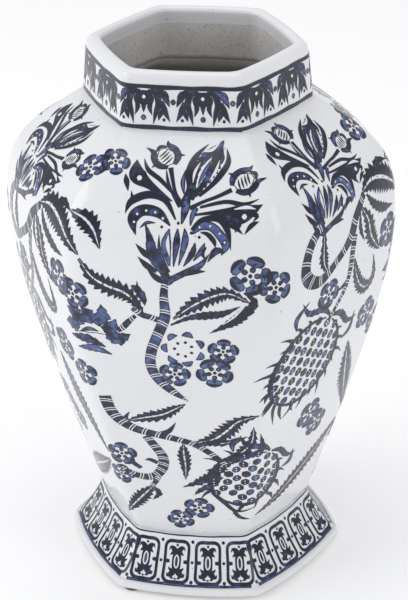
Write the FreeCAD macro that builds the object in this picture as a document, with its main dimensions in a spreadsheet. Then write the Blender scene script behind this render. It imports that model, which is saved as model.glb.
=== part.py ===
"""Hexagonal pottery vase: a six-sided baluster with a straight collar, flared foot and recessed floor.

The clay is formed in four sections that are luted together and fired as one: neck_collar, vase_body,
foot_skirt and base_floor. Three felt pads are stuck under the foot ring. Every ring of the vase is the
same outline, a hexagon with bowed faces and rounded corners, drawn at a height of its own.

Frame: +Z up, origin on the table under the vase's axis, front face looking along -Y. Millimetres.
"""

import FreeCAD, Part
import math
import os

import Sketcher

# Driving dimensions. A "flat" is a width across two opposite faces of the hexagon, outside to outside of the
# bow. A "bow" is how far a face bulges at its middle, as a share of the face's width.
SIZES = {
    # felt pads under the foot ring
    "pad_thickness": 2.0,
    "pad_radius": 5.5,
    "pad_inset": 2.6,
    "pad_turn": 2.5,
    # foot: a rolled lip, the flared skirt above it and the ring it stands on
    "lip_rise": 5.0,
    "lip_flat": 143.6,
    "lip_round": 2.0,
    "ring_width": 9.5,
    "skirt_rise": 25.4,
    "skirt_flat": 139.0,
    "skirt_sweep": 1.6,
    "floor_recess": 7.0,
    "floor_thickness": 6.0,
    # body: from the waist, out to the belly and back in to the seat of the collar
    "waist_flat": 110.4,
    "belly_rise": 178.6,
    "belly_flat": 194.4,
    "shoulder_rise": 63.9,
    "flank_lean": 0.30,
    "flank_pull": 51.6,
    "flank_ease": 47.0,
    "shoulder_ease": 34.0,
    "shoulder_pull": 22.4,
    "shoulder_slope": 1.54,
    "wall": 5.5,
    # collar: a tapered six-sided neck with a rounded rim
    "seat_flat": 110.0,
    "collar_rise": 30.1,
    "rim_flat": 105.0,
    "collar_wall": 7.0,
    "rim_round_outside": 3.9,
    "rim_round_inside": 2.7,
    # outline of the hexagon at each level
    "foot_corner": 9.0,
    "waist_corner": 8.0,
    "belly_corner": 16.0,
    "collar_corner": 7.0,
    "bore_corner": 9.0,
    "foot_bow": 0.057,
    "belly_bow": 0.050,
    "collar_bow": 0.030,
}
FLANK_STEPS = 6
SHOULDER_STEPS = 6
SKIRT_STEPS = 3
SIDES = 6
HALF_SIDE = math.pi / SIDES
# Roundings stop short of meeting each other across what they round.
RIM_ROUND_LIMIT = 0.55
LIP_ROUND_LIMIT = 0.45
# One pad under every second corner, named for where it is, with the direction of its corner in degrees.
PADS = {
    "foot_pad_front_left": -120.0,
    "foot_pad_right": 0.0,
    "foot_pad_back_left": 120.0,
}
UP = FreeCAD.Vector(0, 0, 1)
TINY = 1e-9
NEAR = 1e-5
PLACES = 7

doc = FreeCAD.newDocument("hexagonal_vase")
sheet = doc.addObject("Spreadsheet::Sheet", "Sizes")
for row, (alias, number) in enumerate(SIZES.items(), start=1):
    sheet.set(f"A{row}", str(number))
    sheet.setAlias(f"A{row}", alias)
doc.recompute()


class Size:
    """A length worked out from the sheet: its value, and the expression that gives it."""

    def __init__(self, value, text):
        self.value = value
        self.text = text

    @staticmethod
    def of(other):
        """Any plain number as a Size."""
        if isinstance(other, Size):
            return other
        return Size(float(other), f"({other:.{PLACES}f})")

    def __add__(self, other):
        other = Size.of(other)
        return Size(self.value + other.value, f"({self.text} + {other.text})")

    def __sub__(self, other):
        other = Size.of(other)
        return Size(self.value - other.value, f"({self.text} - {other.text})")

    def __mul__(self, other):
        other = Size.of(other)
        return Size(self.value * other.value, f"({self.text} * {other.text})")

    def __truediv__(self, other):
        other = Size.of(other)
        return Size(self.value / other.value, f"({self.text} / {other.text})")

    def root(self):
        """The square root."""
        return Size(math.sqrt(self.value), f"sqrt({self.text})")

    def at_most(self, limit):
        """This size, or the limit where that is less."""
        return Size(min(self.value, limit.value), f"min({self.text}; {limit.text})")


def size(alias):
    """The sheet's cell of that name."""
    return Size(SIZES[alias], f"Sizes.{alias}")


def half(alias):
    """Half the sheet's cell of that name: an apothem from a width across flats."""
    return size(alias) * 0.5


# Heights of the levels, from the table up.
ring_level = size("pad_thickness")
lip_level = ring_level + size("lip_rise")
waist_level = lip_level + size("skirt_rise")
belly_level = waist_level + size("belly_rise")
seat_level = belly_level + size("shoulder_rise")
rim_level = seat_level + size("collar_rise")
floor_underside = ring_level + size("floor_recess")


class Outline:
    """One level's hexagon: its height, its apothem to mid-face, its corner radius and its bow."""

    def __init__(self, level, apothem, corner, bow):
        self.level = level
        self.corner = corner
        self.face_radius = apothem * (2 / math.sqrt(3)) * (Size.of(0.125) / bow + bow * 0.5)
        self.face_offset = self.face_radius - apothem
        reach = self.face_radius - corner
        along = (reach * reach - self.face_offset * self.face_offset * 0.25).root()
        self.corner_offset = along - self.face_offset * math.cos(HALF_SIDE)

    def corner_reach(self):
        """How far the middle of a rounded corner stands from the axis."""
        return self.corner_offset + self.corner

    def sketch(self, name, body=None):
        """A closed, fully constrained sketch of six face arcs and six corner arcs, tangent all round.

        In a body it is attached to the body's own XY plane, and without one it stands free at its level.
        """
        if body is None:
            made = doc.addObject("Sketcher::SketchObject", name)
            made.setExpression("Placement.Base.z", self.level.text)
        else:
            made = body.newObject("Sketcher::SketchObject", name)
            plane = next(o for o in body.Origin.OriginFeatures if o.Role == "XY_Plane")
            made.AttachmentSupport = [(plane, "")]
            made.MapMode = "FlatFace"
            made.setExpression("AttachmentOffset.Base.z", self.level.text)
        self.draw_arcs(made)
        self.tie_arcs(made)
        return made

    def draw_arcs(self, made):
        """Face arc k is geometry 2k, and the corner arc that follows it is 2k + 1."""
        offset, reach = self.face_offset.value, self.corner_offset.value
        swing = math.atan2(reach * math.sin(HALF_SIDE), reach * math.cos(HALF_SIDE) + offset)
        for k in range(SIDES):
            facing = face_angle(k)
            centre = FreeCAD.Vector(-offset * math.cos(facing), -offset * math.sin(facing), 0)
            circle = Part.Circle(centre, UP, self.face_radius.value)
            made.addGeometry(Part.ArcOfCircle(circle, facing - swing, facing + swing), False)
            turned = facing + HALF_SIDE
            centre = FreeCAD.Vector(reach * math.cos(turned), reach * math.sin(turned), 0)
            circle = Part.Circle(centre, UP, self.corner.value)
            arc = Part.ArcOfCircle(circle, facing + swing, facing + 2 * HALF_SIDE - swing)
            made.addGeometry(arc, False)

    def tie_arcs(self, made):
        """Centres and radii come from the sheet, and every arc meets the next one tangent."""
        start, end, centre = 1, 2, 3
        x_axis, y_axis = -1, -2
        count = 2 * SIDES
        for k in range(SIDES):
            face, facing = 2 * k, face_angle(k)
            for kind, share, axis in (
                ("DistanceX", -math.cos(facing), y_axis),
                ("DistanceY", -math.sin(facing), x_axis),
            ):
                if abs(share) < TINY:
                    made.addConstraint(Sketcher.Constraint("PointOnObject", face, centre, axis))
                    continue
                pull = self.face_offset * share
                tie = Sketcher.Constraint(kind, x_axis, start, face, centre, pull.value)
                made.setExpression(f"Constraints[{made.addConstraint(tie)}]", pull.text)
            made.addConstraint(Sketcher.Constraint("Tangent", face, end, face + 1, start))
            made.addConstraint(Sketcher.Constraint("Tangent", face + 1, end, (face + 2) % count, start))
        for first, radius in ((0, self.face_radius), (1, self.corner)):
            tie = Sketcher.Constraint("Radius", first, radius.value)
            made.setExpression(f"Constraints[{made.addConstraint(tie)}]", radius.text)
            for other in range(first + 2, count, 2):
                made.addConstraint(Sketcher.Constraint("Equal", first, other))


def face_angle(k):
    """Direction that face k looks in. Face 0 is the front, along -Y."""
    return math.radians(-90 + 60 * k)


def new_body(name):
    """An empty PartDesign body."""
    made = doc.addObject("PartDesign::Body", name)
    made.Label = name
    return made


def body_loft(body, kind, name, outlines):
    """A straight-sided AdditiveLoft or SubtractiveLoft of a body, through outlines from low to high."""
    sketches = [line.sketch(f"{name}_{n}", body) for n, line in enumerate(outlines)]
    doc.recompute()
    made = body.newObject(f"PartDesign::{kind}", name)
    made.Profile = (sketches[0], [""])
    made.Sections = [(sketch, [""]) for sketch in sketches[1:]]
    made.Ruled = True
    doc.recompute()
    return made


def round_rim(body, name, base, level, outside, radius):
    """Round the outer or the inner edge of the flat ring that a body's feature has at a level."""
    ring = next(face for face in base.Shape.Faces if lies_flat_at(face, level.value))
    wires = [wire for wire in ring.Wires if wire.isSame(ring.OuterWire) == outside]
    wanted = [edge for wire in wires for edge in wire.Edges]
    numbered = enumerate(base.Shape.Edges, start=1)
    names = [f"Edge{n}" for n, edge in numbered if any(edge.isSame(other) for other in wanted)]
    made = body.newObject("PartDesign::Fillet", name)
    made.Base = (base, names)
    made.Radius = radius.value
    made.setExpression("Radius", radius.text)
    doc.recompute()
    return made


def lies_flat_at(face, level):
    """Whether a face is flat and lies at a height."""
    box = face.BoundBox
    return abs(box.ZMin - level) < NEAR and abs(box.ZMax - level) < NEAR


def smooth_loft(name, outlines):
    """A closed solid whose sides run through outlines in one smooth cubic sweep."""
    made = doc.addObject("Part::Loft", name)
    made.Sections = [line.sketch(f"{name}_{n}") for n, line in enumerate(outlines)]
    made.Solid = True
    made.Ruled = False
    made.MaxDegree = 3
    return made


def boolean(kind, name, base, tool):
    """A Part::Cut or Part::Common of two shapes, labelled with its own name."""
    made = doc.addObject(f"Part::{kind}", name)
    made.Base = base
    made.Tool = tool
    made.Label = name
    return made


def weigh(values, weights):
    """The sum of Sizes, each times its weight."""
    first, *others = [value * weight for value, weight in zip(values, weights)]
    for term in others:
        first = first + term
    return first


def blend(before, after, share):
    """A Size part of the way from one to another."""
    return before + (after - before) * share


class Side:
    """A stretch of the body's side: a cubic's four apothems and levels, and its end outlines."""

    def __init__(self, apothems, levels, corners, bows, ease):
        self.apothems = apothems
        self.levels = levels
        self.corners = corners
        self.bows = bows
        self.ease = ease

    def outline(self, t, wall=None):
        """The outline at t along the stretch. With a wall, it is the inside one, that far in."""
        places = ((1 - t) ** 3, 3 * (1 - t) ** 2 * t, 3 * (1 - t) * t**2, t**3)
        level = weigh(self.levels, places)
        apothem = weigh(self.apothems, places)
        if wall is not None:
            steps = ((1 - t) ** 2, 2 * (1 - t) * t, t**2)
            outward = weigh([b - a for a, b in zip(self.apothems, self.apothems[1:])], steps)
            upward = weigh([b - a for a, b in zip(self.levels, self.levels[1:])], steps)
            lean = outward / upward
            apothem = apothem - wall * (lean * lean + 1).root()
        share = self.ease(t)
        return Outline(level, apothem, blend(*self.corners, share), blend(*self.bows, share))


flank = Side(
    apothems=(
        half("waist_flat"),
        half("waist_flat") + size("flank_lean") * size("flank_pull"),
        half("belly_flat"),
        half("belly_flat"),
    ),
    levels=(
        waist_level,
        waist_level + size("flank_pull"),
        belly_level - size("flank_ease"),
        belly_level,
    ),
    corners=(size("waist_corner"), size("belly_corner")),
    bows=(size("foot_bow"), size("belly_bow")),
    ease=lambda t: 1 - (1 - t) ** 3,
)
shoulder = Side(
    apothems=(
        half("belly_flat"),
        half("belly_flat"),
        half("seat_flat") + size("shoulder_slope") * size("shoulder_pull"),
        half("seat_flat"),
    ),
    levels=(
        belly_level,
        belly_level + size("shoulder_ease"),
        seat_level - size("shoulder_pull"),
        seat_level,
    ),
    corners=(size("belly_corner"), size("collar_corner")),
    bows=(size("belly_bow"), size("collar_bow")),
    ease=lambda t: t**3,
)

bore_at_seat = Outline(
    seat_level, half("seat_flat") - size("collar_wall"), size("bore_corner"), size("collar_bow")
)
bore_at_rim = Outline(
    rim_level, half("rim_flat") - size("collar_wall"), size("bore_corner"), size("collar_bow")
)
lip_outline = Outline(ring_level, half("lip_flat"), size("foot_corner"), size("foot_bow"))
cavity_at_waist = flank.outline(0, size("wall"))
cavity_at_ring = Outline(
    ring_level, half("lip_flat") - size("ring_width"), size("foot_corner"), size("foot_bow")
)


def make_vase_body():
    """The baluster: a smooth loft outside, and inside it a second one that runs into the collar's bore."""
    outside = [flank.outline(n / FLANK_STEPS) for n in range(FLANK_STEPS)]
    outside += [shoulder.outline(n / SHOULDER_STEPS) for n in range(SHOULDER_STEPS + 1)]
    inside = [cavity_at_waist]
    inside += [flank.outline(n / FLANK_STEPS, size("wall")) for n in range(1, FLANK_STEPS)]
    inside += [shoulder.outline(n / SHOULDER_STEPS, size("wall")) for n in range(SHOULDER_STEPS)]
    inside += [bore_at_seat]
    blank = smooth_loft("body_outside", outside)
    hollow = smooth_loft("body_inside", inside)
    return boolean("Cut", "vase_body", blank, hollow)


def make_neck_collar():
    """The straight-sided collar on the shoulder, with the edge of its mouth rounded on both sides."""
    body = new_body("neck_collar")
    seat = shoulder.outline(1)
    rim = Outline(rim_level, half("rim_flat"), size("collar_corner"), size("collar_bow"))
    body_loft(body, "AdditiveLoft", "collar_outside", [seat, rim])
    tube = body_loft(body, "SubtractiveLoft", "collar_bore", [bore_at_seat, bore_at_rim])
    limit = size("collar_wall") * RIM_ROUND_LIMIT
    outer = size("rim_round_outside").at_most(limit)
    inner = size("rim_round_inside").at_most(limit)
    outer_edge = round_rim(body, "rim_outer_edge", tube, rim_level, True, outer)
    round_rim(body, "rim_inner_edge", outer_edge, rim_level, False, inner)
    return body


def make_lip():
    """The rolled lip at the bottom of the foot: a low pad with both its outer edges rounded."""
    body = new_body("rolled_lip")
    drawn = lip_outline.sketch("lip_outline", body)
    doc.recompute()
    pad = body.newObject("PartDesign::Pad", "lip_pad")
    pad.Profile = drawn
    pad.setExpression("Length", "Sizes.lip_rise")
    doc.recompute()
    radius = size("lip_round").at_most(size("lip_rise") * LIP_ROUND_LIMIT)
    lower = round_rim(body, "lip_lower_edge", pad, ring_level, True, radius)
    round_rim(body, "lip_upper_edge", lower, lip_level, True, radius)
    return body


def make_skirt():
    """The flared skirt from the lip up to the waist, a little hollow in its sweep."""
    outlines = []
    for n in range(SKIRT_STEPS + 1):
        t = n / SKIRT_STEPS
        sweep = size("skirt_sweep") * (4 * t * (1 - t))
        level = blend(lip_level, waist_level, t)
        apothem = blend(half("skirt_flat"), half("waist_flat"), t) - sweep
        corner = blend(size("foot_corner"), size("waist_corner"), t)
        outlines.append(Outline(level, apothem, corner, size("foot_bow")))
    return smooth_loft("skirt_outside", outlines)


def make_foot():
    """The foot ring and the floor: a cavity hollows the ring, and the floor is a slice of that cavity."""
    form = boolean("Fuse", "foot_form", make_lip(), make_skirt())
    cavity = new_body("foot_cavity")
    body_loft(cavity, "AdditiveLoft", "cavity_loft", [cavity_at_ring, cavity_at_waist])
    skirt = boolean("Cut", "foot_skirt", form, cavity)
    slab = doc.addObject("Part::Box", "floor_slab")
    slab.setExpression("Length", "Sizes.lip_flat * 2")
    slab.setExpression("Width", "Sizes.lip_flat * 2")
    slab.setExpression("Height", "Sizes.floor_thickness")
    slab.setExpression("Placement.Base.x", "-Sizes.lip_flat")
    slab.setExpression("Placement.Base.y", "-Sizes.lip_flat")
    slab.setExpression("Placement.Base.z", floor_underside.text)
    return [skirt, boolean("Common", "base_floor", cavity, slab)]


def make_pad(name, corner_direction):
    """One round felt pad, pressed on under a corner of the foot ring."""
    pad = doc.addObject("Part::Cylinder", name)
    pad.Label = name
    pad.setExpression("Radius", "Sizes.pad_radius")
    pad.setExpression("Height", "Sizes.pad_thickness")
    reach = lip_outline.corner_reach() - size("pad_inset") - size("pad_radius")
    turned = f"({corner_direction} deg + Sizes.pad_turn * 1 deg)"
    pad.setExpression("Placement.Base.x", f"{reach.text} * cos({turned})")
    pad.setExpression("Placement.Base.y", f"{reach.text} * sin({turned})")
    return pad


def check(parts):
    """Stop before anything is written if any object failed or any sub-part's shape is empty or broken."""
    for thing in doc.Objects:
        if {"Invalid", "Error"} & set(thing.State):
            raise RuntimeError(f"{thing.Name} failed: {thing.State}")
    for part in parts:
        if part.Shape.isNull() or not part.Shape.isValid() or len(part.Shape.Solids) != 1:
            raise RuntimeError(f"{part.Label} isn't one valid solid")


sub_parts = [make_vase_body(), make_neck_collar(), *make_foot()]
sub_parts += [make_pad(name, direction) for name, direction in PADS.items()]
doc.recompute()
check(sub_parts)
os.makedirs("parts", exist_ok=True)
for part in sub_parts:
    part.Shape.exportStep(f"parts/{part.Label}.step")
    print(f"{part.Label}: {part.Shape.Volume / 1000:.1f} cm3")
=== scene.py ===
import copy
import math

import bmesh
import bpy
import numpy as np
from mathutils import Matrix, Vector


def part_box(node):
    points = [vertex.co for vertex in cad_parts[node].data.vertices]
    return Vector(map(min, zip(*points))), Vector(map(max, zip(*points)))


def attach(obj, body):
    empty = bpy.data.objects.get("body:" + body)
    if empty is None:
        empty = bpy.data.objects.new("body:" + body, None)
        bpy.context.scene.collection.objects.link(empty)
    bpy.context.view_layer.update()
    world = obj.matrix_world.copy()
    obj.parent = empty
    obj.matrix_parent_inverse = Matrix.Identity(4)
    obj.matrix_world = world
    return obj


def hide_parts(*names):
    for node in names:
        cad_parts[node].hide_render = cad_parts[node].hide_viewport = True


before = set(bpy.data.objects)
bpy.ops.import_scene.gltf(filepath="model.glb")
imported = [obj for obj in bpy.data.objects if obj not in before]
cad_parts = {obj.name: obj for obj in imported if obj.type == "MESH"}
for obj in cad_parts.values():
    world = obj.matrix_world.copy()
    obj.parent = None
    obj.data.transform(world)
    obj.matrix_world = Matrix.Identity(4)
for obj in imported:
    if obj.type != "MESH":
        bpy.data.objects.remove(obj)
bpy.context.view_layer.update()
MM = 0.001

# -------- view, floor and lights
# The vase stands on a pale seamless floor in a bright white studio. The camera looks down a little
# from the front right, from about a metre away.
AZIMUTH = math.radians(8.41)
ELEVATION = math.radians(27.73)
ROLL = math.radians(-0.98)
DISTANCE = 1.1173
AIM = Vector((0.0016, 0.0002, 0.1513))
LENS = 121.1

back = Vector((
    math.sin(AZIMUTH) * math.cos(ELEVATION),
    -math.cos(AZIMUTH) * math.cos(ELEVATION),
    math.sin(ELEVATION),
))
level_right = Vector((math.cos(AZIMUTH), math.sin(AZIMUTH), 0))
level_up = back.cross(level_right)
right = level_right * math.cos(ROLL) + level_up * math.sin(ROLL)
up = level_up * math.cos(ROLL) - level_right * math.sin(ROLL)
lens = bpy.data.cameras.new("camera")
lens.lens = LENS
lens.clip_start = 0.05
camera = bpy.data.objects.new("camera", lens)
camera.matrix_world = Matrix((right, up, back)).transposed().to_4x4()
camera.location = AIM + back * DISTANCE
bpy.context.scene.collection.objects.link(camera)
bpy.context.scene.camera = camera
bpy.context.scene.view_settings.view_transform = "Standard"


def material(name):
    """A new node material, with its node tree and its main shader."""
    made = bpy.data.materials.new(name)
    made.use_nodes = True
    return made, made.node_tree, made.node_tree.nodes["Principled BSDF"]


def make(name, bm, finish):
    """A piece from a finished bmesh, in its material."""
    mesh = bpy.data.meshes.new(name)
    bm.to_mesh(mesh)
    bm.free()
    mesh.materials.append(finish)
    made = bpy.data.objects.new(name, mesh)
    bpy.context.scene.collection.objects.link(made)
    return made


# The floor is matt white paper that glows a little, so that it washes out as a studio sweep does.
FLOOR_REACH = 6.0
PAPER_WHITE, PAPER_GLOW = 0.93, 0.16
paper, tree, shader = material("studio_floor")
shader.inputs["Base Color"].default_value = (PAPER_WHITE, PAPER_WHITE, PAPER_WHITE, 1)
shader.inputs["Roughness"].default_value = 0.9
shader.inputs["Specular IOR Level"].default_value = 0.1
shader.inputs["Emission Color"].default_value = (1, 1, 1, 1)
shader.inputs["Emission Strength"].default_value = PAPER_GLOW
bm = bmesh.new()
bmesh.ops.create_grid(bm, x_segments=8, y_segments=8, size=FLOOR_REACH)
floor = make("floor", bm, paper)

world = bpy.data.worlds.new("studio")
bpy.context.scene.world = world
world.use_nodes = True
sky = world.node_tree.nodes["Background"].inputs
sky["Color"].default_value = (0.98, 0.985, 1.0, 1)
sky["Strength"].default_value = 0.62


def softbox(name, place, aim_level, width, height, power):
    """A rectangular studio light, turned to face a level on the vase's axis."""
    lamp = bpy.data.lights.new(name, "AREA")
    lamp.shape = "RECTANGLE"
    lamp.size = width
    lamp.size_y = height
    lamp.energy = power
    made = bpy.data.objects.new(name, lamp)
    made.location = place
    made.rotation_euler = (Vector((0, 0, aim_level)) - Vector(place)).to_track_quat("-Z", "Y").to_euler()
    bpy.context.scene.collection.objects.link(made)


softbox("left_softbox", (-1.5, -0.5, 1.0), 0.15, 1.2, 1.4, 10)
softbox("right_softbox", (1.6, -0.9, 1.1), 0.15, 0.9, 1.2, 5)
softbox("top_softbox", (0.0, 0.4, 1.9), 0.1, 1.4, 1.4, 7)

# -------- vase body
# The body is a slip-cast six-sided baluster: its faces bow out a little and its corners are soft. It
# is glazed outside and bare inside. Every ring of it is one outline, a hexagon of twelve tangent arcs.
waist_z, seat_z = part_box("vase_body")[0].z / MM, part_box("vase_body")[1].z / MM
belly_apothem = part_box("vase_body")[1].y / MM
seat_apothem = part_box("neck_collar")[1].y / MM
rim_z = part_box("neck_collar")[1].z / MM
WAIST_APOTHEM = 55.2
BELLY_SHARE = 0.7365
FLANK_LEAN = 0.30
FLANK_PULL = 51.6
FLANK_EASE = 47.0
SHOULDER_EASE = 34.0
SHOULDER_PULL = 22.4
SHOULDER_SLOPE = 1.54
BODY_WALL = 5.5
WAIST_CORNER, BELLY_CORNER, COLLAR_CORNER = 8.0, 16.0, 7.0
FOOT_BOW, BELLY_BOW, COLLAR_BOW = 0.057, 0.050, 0.030
SIDES = 6
HALF_SIDE = math.pi / SIDES
FACE_STEPS, CORNER_STEPS = 22, 10
NUDGE = 1e-3


def cubic(t, points):
    """A cubic curve through its four control values."""
    a, b, c, d = points
    return (1 - t) ** 3 * a + 3 * (1 - t) ** 2 * t * b + 3 * (1 - t) * t**2 * c + t**3 * d


class Ring:
    """One level's outline, in millimetres: six bowed faces of one radius and six corners of another."""

    def __init__(self, level, apothem, corner, bow):
        self.level = level
        self.apothem = apothem
        self.corner = corner
        self.face_radius = apothem * (2 / math.sqrt(3)) * (0.125 / bow + bow / 2)
        self.face_offset = self.face_radius - apothem
        along = math.sqrt((self.face_radius - corner) ** 2 - self.face_offset**2 / 4)
        self.corner_offset = along - self.face_offset * math.cos(HALF_SIDE)
        self.swing = math.atan2(
            self.corner_offset * math.sin(HALF_SIDE),
            self.corner_offset * math.cos(HALF_SIDE) + self.face_offset,
        )
        self.face_half = self.face_radius * self.swing
        self.side_half = self.face_half + corner * (HALF_SIDE - self.swing)

    def at(self, side, along):
        """The point and the outward direction at an arc length from the middle of a side's face."""
        distance = abs(along)
        if distance <= self.face_half:
            turn = distance / self.face_radius
            across = self.face_radius * math.sin(turn)
            out = self.face_radius * math.cos(turn) - self.face_offset
        else:
            turn = self.swing + (distance - self.face_half) / self.corner
            across = self.corner_offset * math.sin(HALF_SIDE) + self.corner * math.sin(turn)
            out = self.corner_offset * math.cos(HALF_SIDE) + self.corner * math.cos(turn)
        facing = math.radians(-90 + 60 * side)
        if along < 0:
            across, turn = -across, -turn
        tangent = Vector((-math.sin(facing), math.cos(facing), 0))
        outward = Vector((math.cos(facing), math.sin(facing), 0))
        point = tangent * across + outward * out + Vector((0, 0, self.level))
        return point, tangent * math.sin(turn) + outward * math.cos(turn)

    def step(self, index):
        """The point of one of the mesh's steps round the ring."""
        per_side = FACE_STEPS + CORNER_STEPS
        side, place = divmod(index, per_side)
        place -= per_side / 2
        if abs(place) <= FACE_STEPS / 2:
            along = self.face_half * place / (FACE_STEPS / 2)
        else:
            beyond = (abs(place) - FACE_STEPS / 2) / (CORNER_STEPS / 2)
            along = math.copysign(self.face_half + beyond * (self.side_half - self.face_half), place)
        return self.at(side, along)[0] * MM


def blend(a, b, share):
    """A value part of the way from one to another."""
    return a + (b - a) * share


def flank(t, wall=0.0):
    """The body from the waist, t = 0, to the belly, t = 1. With a wall, the inside of it."""
    apothems = (WAIST_APOTHEM, WAIST_APOTHEM + FLANK_LEAN * FLANK_PULL, belly_apothem, belly_apothem)
    belly_z = blend(waist_z, seat_z, BELLY_SHARE)
    levels = (waist_z, waist_z + FLANK_PULL, belly_z - FLANK_EASE, belly_z)
    ease = 1 - (1 - t) ** 3
    return body_ring(t, apothems, levels, wall, blend(WAIST_CORNER, BELLY_CORNER, ease),
                     blend(FOOT_BOW, BELLY_BOW, ease))


def shoulder(t, wall=0.0):
    """The body from the belly, t = 0, in to the collar's seat, t = 1. With a wall, the inside of it."""
    apothems = (belly_apothem, belly_apothem, seat_apothem + SHOULDER_SLOPE * SHOULDER_PULL, seat_apothem)
    belly_z = blend(waist_z, seat_z, BELLY_SHARE)
    levels = (belly_z, belly_z + SHOULDER_EASE, seat_z - SHOULDER_PULL, seat_z)
    return body_ring(t, apothems, levels, wall, blend(BELLY_CORNER, COLLAR_CORNER, t**3),
                     blend(BELLY_BOW, COLLAR_BOW, t**3))


def body_ring(t, apothems, levels, wall, corner, bow):
    """A ring of the body, set in from its surface by the wall."""
    rise, run = (cubic(t + NUDGE, curve) - cubic(t - NUDGE, curve) for curve in (levels, apothems))
    inset = wall * math.hypot(1, run / rise)
    return Ring(cubic(t, levels), cubic(t, apothems) - inset, corner, bow)


def shell(name, outside, inside, finish):
    """A closed wall: rings extruded up the outside, on down the inside, and bridged where they meet.

    The attribute called inner is 0 on the outside and 1 on the inside.
    """
    bm = bmesh.new()
    place = bm.verts.layers.int.new("place")
    inner = bm.verts.layers.float.new("inner")
    count = SIDES * (FACE_STEPS + CORNER_STEPS)
    bmesh.ops.create_circle(bm, segments=count, radius=1)
    bm.verts.ensure_lookup_table()
    for index, vert in enumerate(bm.verts):
        vert[place] = index
        vert.co = outside[0].step(index)
    first = edges = bm.edges[:]
    for number, ring in enumerate(outside[1:] + inside):
        grown = bmesh.ops.extrude_edge_only(bm, edges=edges)["geom"]
        edges = [item for item in grown if isinstance(item, bmesh.types.BMEdge)]
        for vert in (item for item in grown if isinstance(item, bmesh.types.BMVert)):
            vert.co = ring.step(vert[place])
            vert[inner] = float(number >= len(outside) - 1)
    bmesh.ops.bridge_loops(bm, edges=first + edges)
    bmesh.ops.recalc_face_normals(bm, faces=bm.faces)
    for face in bm.faces:
        face.smooth = True
    return make(name, bm, finish)


def add(tree, kind, **settings):
    """A shader node of a kind, with its settings and its inputs' values."""
    made = tree.nodes.new("ShaderNode" + kind)
    for key, value in settings.items():
        if key in made.bl_rna.properties:
            setattr(made, key, value)
        else:
            made.inputs[key.replace("_", " ")].default_value = value
    return made


def feed(tree, sockets, values):
    """Sets inputs, each to a fixed number or to another node's output."""
    for socket, value in zip(sockets, values):
        if isinstance(value, (int, float)):
            socket.default_value = value
        else:
            tree.links.new(value, socket)


def calc(tree, operation, *values):
    """A sum worked out at every point, from outputs or fixed numbers."""
    made = add(tree, "Math", operation=operation)
    feed(tree, made.inputs, values)
    return made.outputs["Value"]


def between(tree, value, low, high, to_low=0.0, to_high=1.0):
    """A value taken from one range to another, and held inside it."""
    made = add(tree, "MapRange")
    feed(tree, made.inputs, (value, low, high, to_low, to_high))
    return made.outputs["Result"]


def mix(tree, share, first, second, blend_type="MIX"):
    """The colour between two others, by a share, or the first darkened by the second."""
    made = add(tree, "Mix", data_type="RGBA", blend_type=blend_type)
    feed(tree, (made.inputs["Factor"], made.inputs[6], made.inputs[7]), (share, first, second))
    return made.outputs[2]


def noise(tree, scale, detail=3):
    """Solid noise over the vase in object space, at a scale in waves to the metre."""
    made = add(tree, "TexNoise", Scale=scale, Detail=detail)
    tree.links.new(add(tree, "TexCoord").outputs["Object"], made.inputs["Vector"])
    return made.outputs["Fac"]


def ramp(tree, value, *stops):
    """A value taken through a colour ramp with (position, colour) stops."""
    made = add(tree, "ValToRGB")
    for index, (position, colour) in enumerate(stops):
        stop = made.color_ramp.elements[index] if index < 2 else made.color_ramp.elements.new(position)
        stop.position = position
        stop.color = (*colour, 1)
    tree.links.new(value, made.inputs["Fac"])
    return made.outputs["Color"]


def bump(tree, shader, height, distance, strength):
    """Relief of the given depth, in metres, on a shader's normal."""
    made = add(tree, "Bump", Strength=strength, Distance=distance)
    tree.links.new(height, made.inputs["Height"])
    tree.links.new(made.outputs["Normal"], shader.inputs["Normal"])


def clay_and_glaze(name, edge=()):
    """White glaze with faint waves and pinholes, and the bare clay that shows inside and under the foot."""
    made, tree, shader = material(name)
    cloud = ramp(
        tree, noise(tree, CLOUDS), (0.35, (0.80, 0.805, 0.835)), (0.65, (0.85, 0.853, 0.872))
    )
    pinholes = ramp(
        tree, noise(tree, PINHOLES, 1), (0.19, (0.42, 0.42, 0.48)), (0.215, (1, 1, 1))
    )
    clay = ramp(
        tree, noise(tree, CLAY_PATCHES, 6),
        (0.30, (0.60, 0.585, 0.565)), (0.52, (0.68, 0.665, 0.645)), (0.72, (0.74, 0.725, 0.705)),
    )
    grit = ramp(tree, noise(tree, GRIT, 2), (0.30, (0.45, 0.43, 0.42)), (0.42, (1, 1, 1)))
    glaze = mix(tree, 0.8, cloud, pinholes, "MULTIPLY")
    speckled = mix(tree, 0.55, clay, grit, "MULTIPLY")
    bare = add(tree, "Attribute", attribute_name="inner").outputs["Fac"]
    if edge:
        bare = glaze_edge(tree, bare, *edge)
    tree.links.new(mix(tree, bare, glaze, speckled), shader.inputs["Base Color"])
    tree.links.new(between(tree, bare, 0, 1, GLAZE_ROUGH, CLAY_ROUGH), shader.inputs["Roughness"])
    tree.links.new(between(tree, bare, 0, 1, GLAZE_SHINE, CLAY_SHINE), shader.inputs["Specular IOR Level"])
    grain = calc(tree, "MULTIPLY", noise(tree, CLAY_GRAIN), bare)
    bump(tree, shader, calc(tree, "ADD", noise(tree, GLAZE_WAVES, 2), grain), RELIEF, 0.5)
    return made


def glaze_edge(tree, bare, top, fade, join):
    """Where the bare clay shows below a wavy edge of glaze, joined with where it is bare already."""
    level = add(tree, "SeparateXYZ")
    tree.links.new(add(tree, "TexCoord").outputs["Object"], level.inputs["Vector"])
    wave = calc(tree, "MULTIPLY_ADD", noise(tree, EDGE_WAVES), GLAZE_EDGE_WAVE * MM, level.outputs["Z"])
    top += GLAZE_EDGE_WAVE / 2
    return calc(tree, join, bare, between(tree, wave, top * MM, (top - fade) * MM))


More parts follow.
